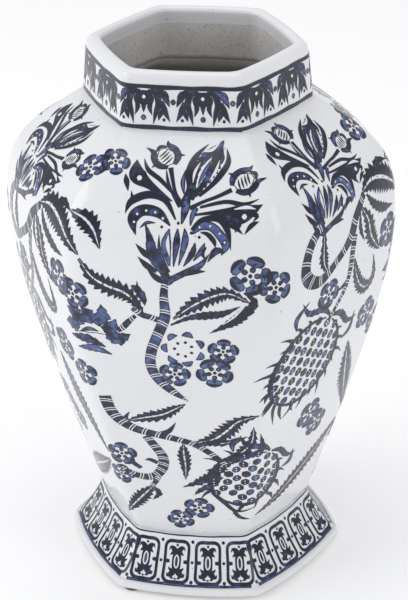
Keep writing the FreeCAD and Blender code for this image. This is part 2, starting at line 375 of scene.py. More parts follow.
FLANK_RINGS, SHOULDER_RINGS = 36, 40
INSIDE_FLANK_RINGS, INSIDE_SHOULDER_RINGS = 16, 12
COLLAR_WALL = 7.0
BORE_CORNER = 9.0
GLAZE_EDGE_WAVE = 3.0
GLAZE_ROUGH, CLAY_ROUGH = 0.09, 0.86
GLAZE_SHINE, CLAY_SHINE = 0.5, 0.15
CLOUDS, PINHOLES, GLAZE_WAVES, EDGE_WAVES = 9, 420, 26, 22
CLAY_PATCHES, GRIT, CLAY_GRAIN = 38, 700, 900
RELIEF, CLAY_RELIEF = 0.00035, 0.0003
body_rings = [flank(n / FLANK_RINGS) for n in range(FLANK_RINGS)]
body_rings += [shoulder(n / SHOULDER_RINGS) for n in range(SHOULDER_RINGS + 1)]
inside = [Ring(seat_z, seat_apothem - COLLAR_WALL, BORE_CORNER, COLLAR_BOW)]
inside += [shoulder(n / INSIDE_SHOULDER_RINGS, BODY_WALL) for n in range(INSIDE_SHOULDER_RINGS - 2, -1, -1)]
inside += [flank(n / INSIDE_FLANK_RINGS, BODY_WALL) for n in range(INSIDE_FLANK_RINGS - 1, -1, -1)]
vase_body = shell("body_wall", body_rings, inside, clay_and_glaze("body_glaze"))
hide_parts("vase_body")
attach(vase_body, "root")

# -------- neck collar
# The collar is a short hexagonal tube with a thick rolled rim, luted onto the shoulder before firing.
# Its glaze runs over the rim and stops in a wavy line a little way down the bore.
RIM_APOTHEM = 52.5
RIM_ROUND_OUTSIDE, RIM_ROUND_INSIDE = 3.9, 2.7
ROUND_STEPS = 8
COLLAR_RINGS = 10
GLAZE_INSIDE, GLAZE_FADE = 8.0, 1.2


def round_over(level, apothem, corner, bow, radius, start, end):
    """Rings round an edge rolled in from this outline, between two angles in degrees from level.

    With a negative radius the edge is a bore's, rolled outwards, and the angles run the other way.
    """
    rings = []
    for n in range(ROUND_STEPS + 1):
        angle = math.radians(blend(start, end, n / ROUND_STEPS))
        inset = radius * (1 - math.cos(angle))
        rings.append(Ring(level + radius * math.sin(angle), apothem - inset, corner - inset, bow))
    return rings


def collar_ring(level, wall=0.0, corner=COLLAR_CORNER):
    """The collar's outline at a level. With a wall, its bore."""
    share = (level - seat_z) / (rim_z - seat_z)
    return Ring(level, blend(seat_apothem, RIM_APOTHEM, share) - wall, corner, COLLAR_BOW)


roll_z = rim_z - RIM_ROUND_OUTSIDE
lip_z = rim_z - RIM_ROUND_INSIDE
outside = [collar_ring(blend(seat_z, roll_z, n / COLLAR_RINGS)) for n in range(COLLAR_RINGS)]
outside += round_over(roll_z, RIM_APOTHEM, COLLAR_CORNER, COLLAR_BOW, RIM_ROUND_OUTSIDE, 0, 90)
inside = round_over(
    lip_z, RIM_APOTHEM - COLLAR_WALL, BORE_CORNER, COLLAR_BOW, -RIM_ROUND_INSIDE, -90, 0
)
inside += [
    collar_ring(blend(lip_z, seat_z, n / COLLAR_RINGS), COLLAR_WALL, BORE_CORNER)
    for n in range(1, COLLAR_RINGS + 1)
]
collar_glaze = clay_and_glaze("collar_glaze", (rim_z - GLAZE_INSIDE, GLAZE_FADE, "MULTIPLY"))
neck_collar = shell("collar_wall", outside, inside, collar_glaze)
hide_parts("neck_collar")
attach(neck_collar, "root")

# -------- foot skirt
# The foot flares out from the waist in a slightly hollow sweep and ends in a rolled lip. The ring it
# stands on is wiped clean of glaze, and so is the hollow inside it.
ring_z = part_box("foot_skirt")[0].z / MM
LIP_RISE = 5.0
LIP_APOTHEM, LIP_ROUND = 71.8, 2.0
SKIRT_APOTHEM, SKIRT_SWEEP = 69.5, 1.6
RING_APOTHEM, CAVITY_APOTHEM = 62.3, 49.46
FOOT_CORNER = 9.0
SKIRT_RINGS = 20
BARE_FOOT, WIPED_FADE = 1.0, 0.5
lip_top = ring_z + LIP_RISE


def skirt_ring(t):
    """The skirt from the lip, t = 0, up to the waist, t = 1."""
    sweep = SKIRT_SWEEP * 4 * t * (1 - t)
    return Ring(blend(lip_top, waist_z, t), blend(SKIRT_APOTHEM, WAIST_APOTHEM, t) - sweep,
                blend(FOOT_CORNER, WAIST_CORNER, t), FOOT_BOW)


skirt_rings = [skirt_ring(n / SKIRT_RINGS) for n in range(SKIRT_RINGS + 1)]
outside = round_over(ring_z + LIP_ROUND, LIP_APOTHEM, FOOT_CORNER, FOOT_BOW, LIP_ROUND, -90, 0)
outside += round_over(lip_top - LIP_ROUND, LIP_APOTHEM, FOOT_CORNER, FOOT_BOW, LIP_ROUND, 0, 90)
outside += skirt_rings
inside = [
    Ring(blend(waist_z, ring_z, n / SKIRT_RINGS), blend(CAVITY_APOTHEM, RING_APOTHEM, n / SKIRT_RINGS),
         blend(WAIST_CORNER, FOOT_CORNER, n / SKIRT_RINGS), FOOT_BOW)
    for n in range(SKIRT_RINGS + 1)
]
foot_glaze = clay_and_glaze("foot_glaze", (ring_z + BARE_FOOT, WIPED_FADE, "MAXIMUM"))
foot_skirt = shell("foot_wall", outside, inside, foot_glaze)
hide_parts("foot_skirt")
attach(foot_skirt, "root")

# -------- printed flowers
# The blue flowers are transfers laid on before glazing: near-black outlines filled with a softer blue.
# Each of two designs is drawn flat, then wrapped onto every other face, over the soft corners too.
GRAIN, TOOTH = 1.1, 3.4
SCALE_HEIGHT, SCALE_WIDTH = 6.0, 6.2
OUTLINE_START, OUTLINE_END, OUTLINE_WANDER, MOTTLE = 0.74, 0.98, 0.55, 0.62
OUTLINE_WAVES, MOTTLE_WAVES, LINE_CLOUDS = 260, 240, 120
PETALS = 5
PRINT_LIFT, LAYER_LIFT = 0.10, 0.03
BLUE, PALE, BLANK = 0.45, 1.0, 2.0


def through(points, share):
    """A smooth line through evenly spaced points, or values, at the given shares of its length."""
    points = np.array(points, float)
    ends = np.concatenate((points[:1], points, points[-1:]))
    place = np.clip(share, 0, 1 - 1e-9) * (len(points) - 1)
    span = place.astype(int)
    u = place - span
    if points.ndim > 1:
        u = u[:, None]
    a, b, c, d = (ends[np.minimum(span + n, len(ends) - 1)] for n in range(4))
    return b + 0.5 * u * (c - a + u * (2 * a - 5 * b + 4 * c - d + u * (3 * (b - c) + d - a)))


class Design:
    """A print laid flat in millimetres: across a face from its middle line, and up it."""

    def __init__(self):
        self.bm = bmesh.new()
        self.depth = self.bm.verts.layers.float.new("depth")
        self.tone = self.bm.verts.layers.float.new("tone")
        self.origin, self.frame, self.size = np.zeros(2), np.eye(2), 1.0

    def at(self, x, y, turn=0.0, size=1.0, flip=1):
        """The same print with its middle at a place: what is drawn is turned clockwise, sized and flipped."""
        pen = copy.copy(self)
        angle = math.radians(turn)
        pen.frame = size * np.array(
            ((math.cos(angle) * flip, -math.sin(angle) * flip), (math.sin(angle), math.cos(angle)))
        )
        pen.origin, pen.size = np.array((x, y), float), size
        return pen

    def stroke(self, spine, widths, tone=0.0, teeth=0.0, span=(-1, 1), layer=0):
        """A shape along a smooth line, with its half-widths spread evenly from end to end.

        The span is the share of the width that is filled, and teeth cut into its edges.
        """
        path = self.origin + np.array(spine, float) @ self.frame
        length = np.linalg.norm(np.diff(through(path, np.linspace(0, 1, 40)), axis=0), axis=1).sum()
        widest = max(widths) * self.size * (span[1] - span[0])
        rows = max(4, math.ceil(length / (GRAIN / 2 if teeth else GRAIN)))
        columns = max(2, 2 * math.ceil(widest / 2 / GRAIN))
        verts = bmesh.ops.create_grid(self.bm, x_segments=rows, y_segments=columns, size=1)["verts"]
        grid = np.array([vert.co[:2] for vert in verts])
        along, across = (grid[:, 0] + 1) / 2, (grid[:, 1] + 1) / 2
        half = np.maximum(through(widths, along), 0.02) * self.size
        half = half * (1 - teeth * (along * length / TOOTH % 1))
        offset = half * (span[0] + (span[1] - span[0]) * across)
        heading = through(path, np.minimum(along + 0.01, 1)) - through(path, np.maximum(along - 0.01, 0))
        heading /= np.linalg.norm(heading, axis=1)[:, None]
        place = through(path, along) + np.stack((-heading[:, 1], heading[:, 0]), axis=1) * offset[:, None]
        inset = half * (span[1] - span[0]) * np.minimum(across, 1 - across)
        inset = np.minimum(inset, length * np.minimum(along, 1 - along))
        for vert, (x, y), depth in zip(verts, place, inset):
            vert.co = (x, y, layer)
            vert[self.depth] = depth
            vert[self.tone] = tone

    def gap(self, spine, widths):
        """A white line left open in the print under it."""
        self.stroke(spine, widths, BLANK, layer=1)

    def dot(self, x, y, radius, tone=0.0, layer=0):
        """A round spot."""
        self.stroke(((x, y - radius), (x, y), (x, y + radius)), (0.35 * radius, radius, 0.35 * radius),
                    tone, layer=layer)


class Skin:
    """A stretch of the vase's outside that flat designs are laid on.

    A width of 0 keeps a design's own width. A width of 1 spreads it as the side widens.
    """

    def __init__(self, rings, width=0.0):
        self.rings = rings
        steps = [math.hypot(b.level - a.level, b.apothem - a.apothem) for a, b in zip(rings, rings[1:])]
        self.heights = np.concatenate(((0,), np.cumsum(steps)))
        self.width = width
        self.usual = rings[len(rings) // 2].side_half

    def place(self, side, along, up, lift):
        """The point over a place in the design, lifted off the surface, in metres."""
        up = min(max(up, 0.0), self.heights[-1])
        index = int(np.clip(np.searchsorted(self.heights, up, "right") - 1, 0, len(self.rings) - 2))
        share = (up - self.heights[index]) / (self.heights[index + 1] - self.heights[index])
        low, high = self.rings[index], self.rings[index + 1]
        half = blend(low.side_half, high.side_half, share)
        along *= 1 + self.width * (half / self.usual - 1)
        while abs(along) > half:
            turn = math.copysign(1, along)
            side, along = side + turn, along - 2 * half * turn
        low_point, low_out = low.at(side, along)
        high_point, high_out = high.at(side, along)
        outward = low_out.lerp(high_out, share) * (high.level - low.level)
        outward.z = low.apothem - high.apothem
        return (low_point.lerp(high_point, share) + outward.normalized() * lift) * MM


def wrap(name, design, skin, sides, ink):
    """Lays a flat design on the vase, once on each of the sides."""
    bm = design.bm
    bm.normal_update()
    bmesh.ops.reverse_faces(bm, faces=[face for face in bm.faces if face.normal.z < 0])
    flat = bm.verts[:] + bm.edges[:] + bm.faces[:]
    prints = [flat] + [bmesh.ops.duplicate(bm, geom=flat)["geom"] for _ in sides[1:]]
    for side, parts in zip(sides, prints):
        for vert in (item for item in parts if isinstance(item, bmesh.types.BMVert)):
            lift = PRINT_LIFT + LAYER_LIFT * vert.co.z
            vert.co = skin.place(side, vert.co.x, vert.co.y, lift)
    for face in bm.faces:
        face.smooth = True
    made = make(name, bm, ink)
    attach(made, "root")


def arc(radius, start, end):
    """Five points round the middle, between two angles in degrees clockwise from straight up."""
    turns = [math.radians(blend(start, end, n / 4)) for n in range(5)]
    return [(radius * math.sin(turn), radius * math.cos(turn)) for turn in turns]


def blossom(design, x, y, radius, turn):
    """A five-petalled flower seen from the front, with a ring of cells round its eye."""
    for petal in range(PETALS):
        pen = design.at(x, y, turn + 360 / PETALS * petal, radius)
        pen.stroke(arc(0.74, -34, 34), (0.10, 0.24, 0.31, 0.24, 0.10), BLUE)
        pen.stroke(arc(0.92, -27, 30), (0.02, 0.09, 0.13, 0.10, 0.02), layer=1)
        pen.stroke(((-0.04, 0.52), (0, 0.62), (0.10, 0.70)), (0.03, 0.07, 0.02), layer=1)
        pen.stroke(((0, 0.19), (0, 0.33), (0, 0.46)), (0.09, 0.15, 0.10), 0.3)
    design.at(x, y, 0, radius).dot(0, 0, 0.11)


def bud(design, x, y, turn, size, flip):
    """A round bud, striped across, held in pointed sepals."""
    pen = design.at(x, y, turn, size, flip)
    pen.stroke(((0, -5.6), (0, 0), (0, 5.6)), (1.8, 5.4, 1.8), PALE)
    for level in (-3.2, -1.2, 0.8, 2.6):
        pen.stroke(((-3.4, level - 1), (0, level), (3.2, level + 1.4)), (0.2, 0.55, 0.15), layer=1)
    pen.stroke(((-2, -6.5), (-5.6, -3), (-6.2, 2), (-4.8, 6), (-7, 10.5)), (1.0, 2.0, 1.9, 1.5, 0.1), 0.2)
    pen.stroke(((2, -6.5), (5.6, -3), (6.4, 2), (4.6, 6), (5.4, 9)), (1.0, 2.0, 1.9, 1.5, 0.1), 0.3)
    pen.stroke(((-4, 5), (0, 7.2), (4, 5)), (0.2, 1.2, 0.2))
    pen.stroke(((-6, -1), (-9.8, -2.5)), (1.5, 0.1))
    pen.stroke(((6, -2), (9.6, -4)), (1.5, 0.1))


def leaf(design, spine, width, tone, teeth, dots=0):
    """A toothed leaf in two halves, with its midrib left white and sometimes beaded."""
    widths = [width * share for share in (0.12, 0.7, 1.0, 0.9, 0.55, 0.04)]
    for span in ((0.13, 1), (-1, -0.13)):
        design.stroke(spine, widths, tone, teeth, span)
    for n in range(dots):
        x, y = through(spine, np.array([(n + 1) / (dots + 1.5)]))[0]
        design.dot(x, y, 0.42, 0, 1)


def stem(design, spine, widths, joints, tone=0.3):
    """A stalk, with white rings across it at its joints."""
    design.stroke(spine, widths, tone)
    for n in range(joints):
        share = np.array([(n + 0.6) / joints])
        (x, y), half = through(spine, share)[0], through(widths, share)[0]
        ahead = through(spine, share + 0.02)[0] - (x, y)
        ahead /= np.linalg.norm(ahead)
        for slip in (-0.8, 0.7):
            a = np.array((x, y)) + ahead * slip
            edge = np.array((-ahead[1], ahead[0])) * half * 1.05
            design.gap((a - edge, a, a + edge + ahead * 0.8), (0.24, 0.28, 0.24))


def bouquet(design, x, y, turn=0, size=1.0):
    """The big spray at the top of every face: two buds and a flame, side leaves, curls and a calyx."""
    for spot, lean, flip in (((-14.5, 26), -32, 1), ((25.7, 13), 52, -1)):
        pen = design.at(x, y, turn, size)
        bud(design, *(pen.origin + np.array(spot) @ pen.frame), turn + lean, 0.93 * size, flip)
    pen = design.at(x, y, turn, size)
    pen.stroke(((-11.5, 20), (-10, 14), (-7.6, 6), (-3, -1)), (1.3, 1.0, 0.9, 1.2))
    pen.stroke(((-13.5, 18.5), (-12, 12), (-9, 5.5), (-5, -1)), (0.2, 0.8, 0.7, 0.9), 0.2)
    pen.stroke(((20, 8.5), (13, 4.8), (6.3, 2), (0, -1.5)), (1.3, 1.0, 0.9, 1.2))
    # flame
    pen.stroke(((0, 3), (2.2, 10), (5, 18), (8.5, 26), (13.4, 37)), (1.6, 4.6, 6.9, 6.4, 0.1), 0.22, 0.25)
    pen.gap(((3.6, 30), (8, 31), (11.6, 35.4)), (0.2, 0.9, 0.1))
    pen.gap(((0.4, 12), (0.8, 18), (3, 23.6)), (0.1, 0.7, 0.1))
    pen.gap(((8.4, 13.4), (11, 18.6), (12.4, 25)), (0.1, 0.7, 0.1))
    pen.stroke(((2, 7.5), (3.4, 13), (5.6, 20), (8.9, 28)), (0.2, 1.9, 2.6, 0.3), PALE, 0.2, layer=1)
    pen.stroke(((3, 10.5), (4.4, 15), (6.4, 20), (8, 25)), (0.1, 0.9, 1.2, 0.1), BLUE, layer=2)
    pen.stroke(((-4, 1.7), (-1.2, 9), (-2, 18), (0.5, 27), (6.1, 34.6)), (0.9, 1.3, 1.9, 1.5, 0.1))
    pen.stroke(((4, 5), (9.5, 10.5), (13.6, 16.5), (16.8, 24), (15.3, 32)), (0.9, 1.2, 1.7, 1.4, 0.1))
    pen.stroke(((5, 23), (4.6, 28), (9.6, 33.5)), (0.9, 1.5, 0.1), BLUE)
    pen.stroke(((11, 21), (13.5, 26), (12.2, 33)), (0.7, 1.3, 0.1), 0.2)
    pen.stroke(((-3.4, 5.8), (-4.6, 12), (-4, 19)), (0.3, 1.2, 0.1), BLUE)
    # right side
    pen.stroke(((5, -0.8), (17.3, 2.2), (26.7, 0.9), (34, 3.6)), (0.7, 1.1, 1.1, 0.1))
    pen.stroke(((3, -4.6), (14, -3.2), (25, -4.2), (36, 0.6)), (0.6, 1.4, 4.9, 0.1), 0.15)
    pen.stroke(((21, -6), (24.5, -9), (22.8, -13.2)), (1.8, 1.6, 0.1), 0.2)
    pen.stroke(((30.5, -4), (33.5, -5), (31.5, -8)), (1.3, 1.1, 0.1), 0.2)
    pen.dot(27.2, -5.3, 1.3, BLANK, 1)
    pen.stroke(((34.6, -7.8), (31, -9.6), (27.6, -14.2)), (0.1, 1.3, 0.1))
    pen.stroke(((1.5, -12.3), (6.4, -7.2), (14.5, -6.4), (19.2, -12), (21.1, -22)), (0.9, 1.4, 1.7, 1.5, 0.1))
    pen.stroke(((18, -8), (23, -10.6), (26.8, -14)), (1.4, 1.3, 0.1), 0.2)
    pen.stroke(((2, -14), (6.2, -10.2), (11.4, -10.4), (16, -14.8), (18.6, -19.5), (16.4, -24.6)),
               (0.5, 2.0, 2.2, 2.3, 2.2, 0.2), BLUE)
    pen.stroke(((17.5, -22.5), (13.5, -22.6), (9.6, -28.4)), (0.8, 1.9, 0.1), 0.25)
    pen.stroke(((6, -13.2), (9.4, -14), (12.6, -17.4), (13.4, -20.6)), (0.3, 1.1, 1.2, 0.2), layer=1)
    for place in ((5.4, -10.6), (10.6, -10), (15.4, -13.6), (18, -18)):
        pen.dot(*place, 0.55, BLANK, 1)
    pen.gap(((22, -1.6), (28, -0.6), (32.6, -1.6)), (0.2, 0.9, 0.1))
    pen.stroke(((9, -20.5), (7, -23.5), (8.4, -26.6)), (0.3, 1.2, 0.2))
    # left side
    pen.stroke(((-29, 23.4), (-27.8, 15), (-21, 9.6), (-9, 1.8)), (0.2, 4.4, 2.3, 0.3), 0.15)
    pen.dot(-26.6, 13.2, 1.4, BLANK, 1)
    pen.stroke(((-25.4, 24.4), (-22.6, 18), (-15.6, 12.6), (-7.4, 4.4)), (0.1, 1.2, 1.2, 0.6))
    pen.stroke(((-34, 15), (-33, 11), (-31.6, 5.6)), (0.1, 1.5, 0.1), 0.2)
    pen.stroke(((-32.2, -5.8), (-29.4, 0.6), (-21, 4.6), (-12.5, 2.2), (-6.6, -7.4)),
               (0.1, 1.8, 2.1, 1.6, 0.4))
    pen.stroke(((-30, 6), (-28.8, 1)), (0.1, 1.4))
    pen.stroke(((-26.4, -16), (-28.2, -8.4), (-23.6, -3.6), (-15.5, -4.4), (-9.2, -10.4)),
               (0.2, 2.7, 2.9, 2.5, 0.4), 0.2)
    for place in ((-27.4, -9.6), (-26, -5.6), (-21.6, -3.6), (-17, -4.2), (-13, -7)):
        pen.dot(*place, 0.62, BLANK, 1)
    pen.stroke(((-24.5, -12.5), (-21, -9.6), (-16.4, -9.4)), (0.1, 0.9, 0.1), BLUE)
    # calyx
    pen.stroke(((-22, -9.4), (-19.4, -17), (-17.8, -25), (-14, -32), (-9.6, -39)), (0.1, 1.9, 3.4, 2.6, 1.8),
               0.3, 0.15)
    for tip_x, tip_y in ((-26.4, -20.4), (-25.4, -27), (-20.8, -33.2)):
        pen.stroke(((tip_x, tip_y), (tip_x + 4.6, tip_y - 4.6), (tip_x + 9.6, tip_y - 7.4)), (0.1, 1.7, 1.0))
    pen.stroke(((10.4, -24), (6, -30), (-1, -34), (-9.6, -39)), (0.1, 1.6, 1.7, 1.8), 0.3)
    pen.stroke(((8.6, -33.4), (3, -33.6), (-4, -36)), (0.1, 1.5, 0.8))
    pen.stroke(((-14.6, -15), (-14.4, -22), (-12.4, -29), (-9.4, -34.4)), (0.1, 0.9, 1.2, 0.5), 0.2)
    pen.stroke(((-9.6, -12), (-11, -20), (-9.4, -31)), (0.4, 2.7, 0.6), BLUE, 0.1)
    pen.gap(((-9.9, -15), (-10.2, -20), (-9.2, -26)), (0.1, 0.9, 0.1))
    pen.stroke(((-5.4, -11.6), (-5.8, -19), (-7.4, -31.4)), (0.3, 1.9, 0.3), 0.25, 0.1)
    pen.stroke(((-2, -11.4), (-1.6, -18), (-4.8, -30.6)), (0.3, 1.9, 0.3), BLUE, 0.1)
    pen.stroke(((3.4, -18.4), (2, -24), (-2.4, -31)), (0.3, 1.8, 0.3), 0.2, 0.15)
    pen.stroke(((8.2, -18.4), (6.4, -22.6), (2.6, -27.8)), (0.2, 1.4, 0.3), BLUE)
    for place in ((-13.4, -11.2), (1.4, -13.6), (-5.2, -9), (5.4, -15.6)):
        pen.dot(*place, 0.8)
    pen.stroke(((-1.6, 5), (-2.2, -2), (-3.6, -9.4)), (1.6, 2.1, 0.4), 0.4)
    pen.stroke(((3.4, -1), (1.6, -5), (0.8, -10)), (1.2, 1.3, 0.3), BLUE)
    pen.stroke(((-14.6, -37.2), (-10.4, -39.6), (-6.8, -37.6)), (0.5, 2.2, 0.5), 0.35)


def seed_head(design, x, y, turn, length, width, spikes):
    """A thistle or pineapple head: rows of scales in a spiny case, with a crown of toothed sepals."""
    pen = design.at(x, y, turn)
    for edge in (-1, 1):
        sides = [(edge * width / 2 * math.sin(math.radians(a)), length / 2 * math.cos(math.radians(a)))
                 for a in (8, 35, 65, 95, 125, 155, 180)]
        pen.stroke(sides, (0.6, 1.2, 1.7, 1.9, 1.8, 1.4, 0.9), 0.18, 0.3)
        for n in range(spikes):
            a = math.radians(38 + 132 * n / spikes)
            root = np.array((edge * width / 2 * math.sin(a), length / 2 * math.cos(a)))
            out = np.array((edge * math.sin(a + 0.55), math.cos(a + 0.55)))
            reach = 4.2 + 3.2 * (n % 3)
            curl = np.array((-out[1], out[0])) * edge
            pen.stroke((root, root + out * reach * 0.5 + curl * 0.8, root + out * reach), (1.5, 0.8, 0.08),
                       0.2)
    rows = round(length / SCALE_HEIGHT)
    for row in range(rows):
        level = length * ((row + 0.5) / rows - 0.5)
        reach = width / 2 * math.sqrt(1 - (2 * level / length) ** 2) - 1.8
        count = max(1, round(reach * 2 / SCALE_WIDTH)) + row % 2 * (reach > 5)
        for n in range(count):
            across = 0 if count == 1 else reach * (2 * n / (count - 1) - 1) * 0.94
            swell = 2.6 + 0.4 * math.sin(row * 2.4 + n * 1.7)
            pen.stroke(((across, level - 2.5), (across * 0.99, level), (across * 0.97, level + 2.5)),
                       (1.1, swell, 1.2), 0.15 + 0.2 * ((row + n) % 2))
            if (row + 2 * n) % 3 < 2:
                pen.dot(across - 0.5, level + 0.7, 0.42, BLANK, 1)
                pen.dot(across + 0.6, level - 0.8, 0.36, BLANK, 1)
    for edge in (-1, 1):
        pen.stroke(((edge * 0.8, length * 0.53), (edge * width * 0.2, length * 0.57),
                    (edge * width * 0.44, length * 0.50), (edge * width * 0.62, length * 0.58)),
                   (0.9, 2.3, 2.1, 0.1), 0.25, 0.3)
        pen.stroke(((edge * width * 0.5, length * 0.3), (edge * width * 0.6, length * 0.42),
                    (edge * width * 0.52, length * 0.62)), (0.4, 1.8, 0.1), 0.3)


def fan(design, x, y, turn, size):
    """A half-open flower in side view: a fan of toothed petals round a striped eye."""
    for n, tip in enumerate((-82, -50, -20, 12, 44, 76)):
        pen = design.at(x, y, turn, size)
        length = 13.5 + 2.2 * (n % 2)
        a = math.radians(tip)
        out = np.array((math.sin(a), math.cos(a)))
        side = np.array((out[1], -out[0]))
        pen.stroke((out * 6, out * length * 0.7 + side * 1.2, out * length * 1.05 - side), (1.6, 4.0, 0.1),
                   0.3, 0.35)
    pen.stroke(((-8, -1), (-4, 3), (1, 4), (6, 2)), (0.2, 2.6, 2.8, 0.3), PALE)
    pen.stroke(((-5, 0.6), (-1.5, 3), (2.6, 2.8)), (0.2, 1.1, 0.2), BLUE, layer=1)
    pen.stroke(((-10, -4), (-2, -2.4), (6, -4.4)), (0.5, 2.6, 0.4), 0.3, 0.3)
    pen.stroke(((-6, -8.6), (1, -6.4), (9, -7.6)), (0.2, 2.2, 0.3), BLUE, 0.3)


def ink(name):
    """Cobalt print under the glaze: dark outlines, a mottled fill, and the white left open in it."""
    made, tree, shader = material(name)
    depth, tone = (
        add(tree, "Attribute", attribute_name=layer).outputs["Fac"] for layer in ("depth", "tone")
    )
    wander = calc(tree, "MULTIPLY_ADD", noise(tree, OUTLINE_WAVES, 2), OUTLINE_WANDER, depth)
    inside_line = between(tree, wander, OUTLINE_START, OUTLINE_END)
    filled = calc(tree, "MAXIMUM", inside_line, calc(tree, "GREATER_THAN", tone, (PALE + BLANK) / 2))
    weight = calc(tree, "MULTIPLY", tone, MOTTLE)
    mottle = calc(tree, "MULTIPLY_ADD", noise(tree, MOTTLE_WAVES), MOTTLE, weight)
    fill = ramp(
        tree, mottle, (0.43, (0.010, 0.012, 0.028)), (0.50, (0.032, 0.045, 0.115)),
        (0.59, (0.085, 0.128, 0.30)), (0.72, (0.135, 0.19, 0.39)), (0.80, (0.80, 0.805, 0.83)),
    )
    line = ramp(
        tree, noise(tree, LINE_CLOUDS, 2), (0.40, (0.010, 0.012, 0.026)), (0.70, (0.022, 0.030, 0.085))
    )
    tree.links.new(mix(tree, filled, line, fill), shader.inputs["Base Color"])
    shader.inputs["Roughness"].default_value = 0.1
    return made


cobalt = ink("cobalt_print")
body_skin = Skin(body_rings)

CELLS = 7
front = Design()
bouquet(front, 8.3, 225)
stem(front, ((-3.4, 186), (-4.4, 176), (-4.2, 165), (-8, 154), (-12, 143), (-13.2, 133), (-10, 123.5),
             (-2.7, 115.3), (5, 108.8)), (1.6, 2.2, 2.8, 2.9, 2.8, 2.8, 2.7, 2.3, 0.4), 12)
stem(front, ((-4, 161), (-11, 163.6), (-16, 165), (-21, 168.4)), (1.9, 1.7, 1.7, 1.2), 2)
leaf(front, ((0, 163.6), (9.5, 171.6), (20, 177.6), (29, 179.2), (39.6, 173.4)), 5.6, 0.2, 0.5, 7)
front.stroke(((-1.4, 159.8), (8, 164.6), (17, 166.4), (25, 167.6), (34, 172)), (0.6, 1.6, 2.8, 2.2, 0.2),
             0.2, 0.3)
front.stroke(((36, 180), (41, 174), (34, 165.6), (27.6, 161), (18, 155.4)), (0.6, 2.4, 3.6, 2.6, 0.1),
             0.15, 0.35)
front.gap(((37, 173), (31, 166), (25, 161)), (0.1, 0.5, 0.1))
for n in range(CELLS):
    cell = front.at(4.4, 144.6, 51.4 * n + 15)
    cell.stroke(((-2.8, 8.4), (0, 10), (3, 8.6)), (0.4, 1.9, 0.3), BLUE)
    cell.dot(0, 4.6, 0.9)
for x, y, radius, turn in (
    (-1, 127.4, 8.2, 10), (19.8, 129.3, 9.6, 40), (24.6, 143.6, 8.0, 5), (39.1, 189.2, 10.6, 20),
    (52.0, 182.4, 9.0, 50), (-34.2, 63.4, 8.6, 0), (6, 24, 8.4, 15),
    (-4.4, 13.6, 7.6, 45), (-51.3, 120.4, 8.8, 60), (-31.6, 246.5, 7.6, 25), (-36, 46.4, 7.6, 10),
):
    blossom(front, x, y, radius, turn)
# lower branch
stem(front, ((-40, 107), (-37.8, 97.6), (-33, 90.4), (-25, 85), (-13.6, 82), (-4, 79.8), (6, 76.4),
             (14.5, 69.7), (22.9, 60)), (3.6, 3.5, 3.4, 2.8, 2.4, 2.2, 2.0, 1.9, 1.6), 13, 0.2)
leaf(front, ((-28.8, 90.4), (-19.6, 94), (-9.4, 97.6), (-2, 102.6), (3.6, 106.6)), 4.8, 0.1, 0.45)
front.stroke(((-11, 83), (-6.4, 85.6), (-2.4, 92.4)), (1.5, 1.5, 0.1))
front.stroke(((-27, 87), (-29.6, 92), (-27, 97.4)), (1.2, 1.4, 0.1))
stem(front, ((-19.4, 80), (-14.4, 71.6), (-11, 63.6), (-12.4, 54.6), (-18, 47.6), (-27, 47.2), (-35.6, 52)),
     (2.4, 2.7, 2.9, 2.9, 2.6, 2.3, 1.6), 11, 0.2)
stem(front, ((-14.3, 50), (-16.4, 44), (-19.4, 39)), (1.7, 1.5, 1.2), 2)
leaf(front, ((0.6, 76), (0.4, 68), (0.8, 59), (0.2, 47.4)), 4.2, 0.15, 0.4, 4)
leaf(front, ((-18, 40), (-24.4, 31), (-29.8, 23), (-36.4, 12.4)), 5.6, 0.1, 0.45, 5)
front.stroke(((-18.6, 39.4), (-15.4, 34), (-19.6, 27.6)), (1.0, 2.2, 0.1), 0.15, 0.4)
front.stroke(((-21.4, 60.6), (-18.4, 61.4), (-14.4, 59.4)), (0.1, 1.3, 1.4))
front.stroke(((-24, 53.6), (-28.6, 58), (-27, 64)), (1.4, 1.6, 0.1), 0.2)
leaf(front, ((6.4, 77.4), (17, 80.6), (24.4, 87.4), (31, 94.4), (42, 98.4)), 6.6, 0.15, 0.5, 6)
leaf(front, ((8, 74.6), (15, 77.6), (24, 78), (31, 82.6)), 3.0, 0.15, 0.45)
# thistle
seed_head(front, 34, 48.4, 38, 45, 39, 6)
leaf(front, ((24, 63), (31.4, 70.2), (37, 78), (38.6, 90)), 4.4, 0.15, 0.5)
front.stroke(((25.4, 61.4), (34, 66.6), (42.4, 72), (42, 84.4)), (0.8, 2.0, 2.6, 0.1), 0.25, 0.4)
front.stroke(((22.6, 58), (15.8, 53.4), (8.4, 46.6), (-1.6, 41)), (2.0, 3.4, 3.6, 0.2), 0.15, 0.5)
front.stroke(((20, 50.6), (14.6, 44.4), (7.6, 38.8), (4.4, 35)), (1.2, 2.4, 2.0, 0.1), 0.2, 0.4)
for spine in (((14, 37), (20.6, 28.4), (27, 21.4), (38.6, 23.6)), ((25, 22), (28, 16.4), (34, 13.4)),
              ((46, 30), (49.4, 27), (50.4, 22)), ((50.6, 39), (54, 36), (55.4, 31))):
    front.stroke(spine, (0.9, 1.3, 0.1), 0.15)
